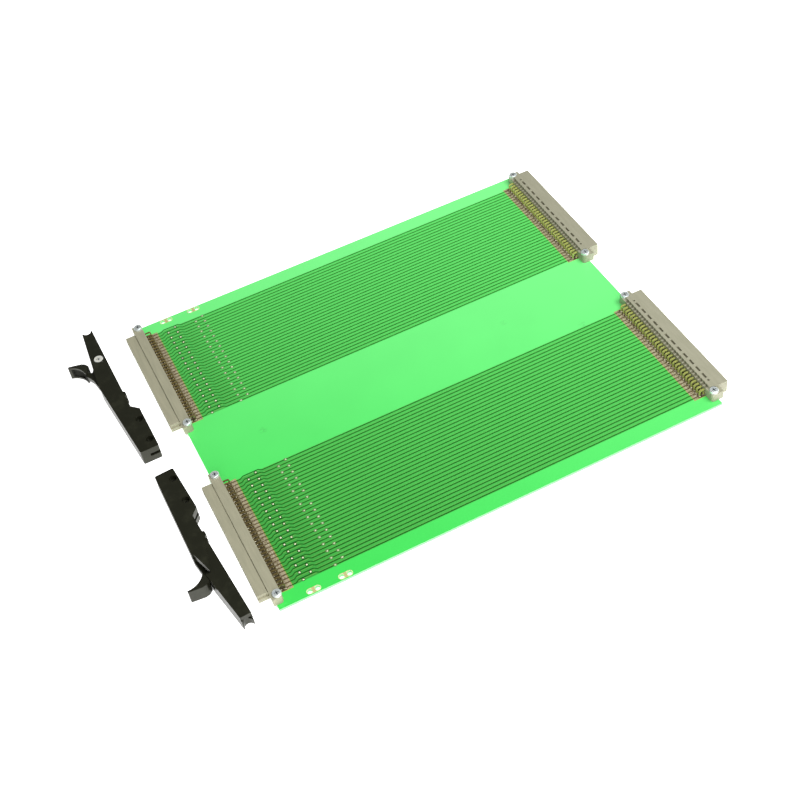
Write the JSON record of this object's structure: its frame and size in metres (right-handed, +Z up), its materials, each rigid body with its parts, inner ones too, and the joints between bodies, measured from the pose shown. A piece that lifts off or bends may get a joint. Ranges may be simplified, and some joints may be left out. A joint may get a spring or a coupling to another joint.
{
  "type": "extender board",
  "caption": "Straight-through extender board for a card rack: sockets in front, plugs behind, tracks with test points between, and loose card holders with latch levers.",
  "frame": {"origin": "middle of the footprint of the whole set, on the surface that it stands on", "axes": "+X from the socket edge to the plug edge of the board, +Y along the board's front edge, +Z up from the surface"},
  "size_m": [0.316, 0.2418, 0.0111],
  "materials": {
    "board": "glass cloth laminate under a translucent green solder mask",
    "upper_copper": "copper tracks under green solder mask",
    "lower_copper": "copper tracks under green solder mask",
    "tinned_point": "tinned copper",
    "socket_moulding": "beige grey glass filled moulding",
    "plug_moulding": "beige grey glass filled moulding",
    "contact": "tinned brass",
    "screw": "zinc plated",
    "nut": "zinc plated",
    "tinned_pad": "copper, tinned round the holes",
    "holder_moulding": "near black, semi-gloss moulding",
    "lever_moulding": "near black, semi-gloss moulding",
    "pivot": "zinc plated"
  },
  "bodies": {
    "board_and_holders": {"circuit_board": "board", "upper_tracks_near": "upper_copper", "lower_tracks_near": "lower_copper", "test_points_near": "tinned_point", "socket_body_near": "socket_moulding", "plug_body_near": "plug_moulding", "socket_contacts_near_row_a": "contact", "plug_contacts_near_row_a": "contact", "socket_contacts_near_row_b": "contact", "plug_contacts_near_row_b": "contact", "socket_screws_near": "screw", "socket_nuts_near": "nut", "plug_screws_near": "screw", "plug_nuts_near": "nut", "upper_tracks_far": "upper_copper", "lower_tracks_far": "lower_copper", "test_points_far": "tinned_point", "socket_body_far": "socket_moulding", "plug_body_far": "plug_moulding", "socket_contacts_far_row_a": "contact", "plug_contacts_far_row_a": "contact", "socket_contacts_far_row_b": "contact", "plug_contacts_far_row_b": "contact", "socket_screws_far": "screw", "socket_nuts_far": "nut", "plug_screws_far": "screw", "plug_nuts_far": "nut", "holder_pads_near": "tinned_pad", "holder_pads_far": "tinned_pad", "card_holder_far": "holder_moulding", "pivot_screw_far": "pivot", "card_holder_near": "holder_moulding", "pivot_screw_near": "pivot"},
    "far_latch": {"latch_lever_far": "lever_moulding"},
    "near_latch": {"latch_lever_near": "lever_moulding"}
  },
  "joints": [
    {"name": "far_latch_hinge", "type": "hinge", "parent": "board_and_holders", "child": "far_latch", "pos_m": [-0.13942, 0.09531, 0.005], "axis": [0, 0, 1], "range_deg": [0, 25]},
    {"name": "near_latch_hinge", "type": "hinge", "parent": "board_and_holders", "child": "near_latch", "pos_m": [-0.13142, -0.09412, 0.005], "axis": [0, 0, -1], "range_deg": [-25, 0]}
  ]
}
